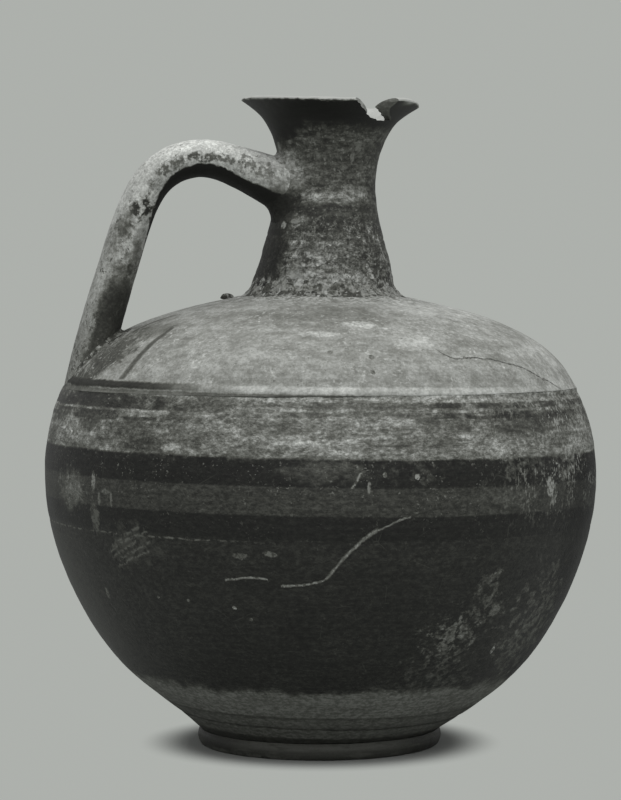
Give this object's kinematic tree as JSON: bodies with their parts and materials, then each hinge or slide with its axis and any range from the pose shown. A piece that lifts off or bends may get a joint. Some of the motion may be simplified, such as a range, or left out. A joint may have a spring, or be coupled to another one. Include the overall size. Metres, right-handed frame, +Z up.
{
  "type": "ceramic jug",
  "caption": "Wheel-thrown one-handled jug with a globular body, narrow neck, flared mouth, strap handle and ring foot.",
  "frame": {"origin": "middle of the foot ring's resting edge, on the surface that the jug stands on", "axes": "+Z up along the body's wheel axis, the handle stands at -X, and the neck leans slightly towards +X"},
  "size_m": [0.22, 0.22, 0.2578],
  "materials": {
    "painted_clay": "fired clay under a worn, dull black slip",
    "bare_clay": "fired clay left in the pale body colour, with dust and lime crust"
  },
  "bodies": {
    "root": {"foot_ring": "painted_clay", "body_bowl": "painted_clay", "shoulder_dome": "bare_clay", "neck": "painted_clay", "neck_luting": "bare_clay", "handle": "bare_clay", "handle_neck_luting": "bare_clay", "handle_shoulder_luting": "painted_clay"}
  },
  "joints": []
}
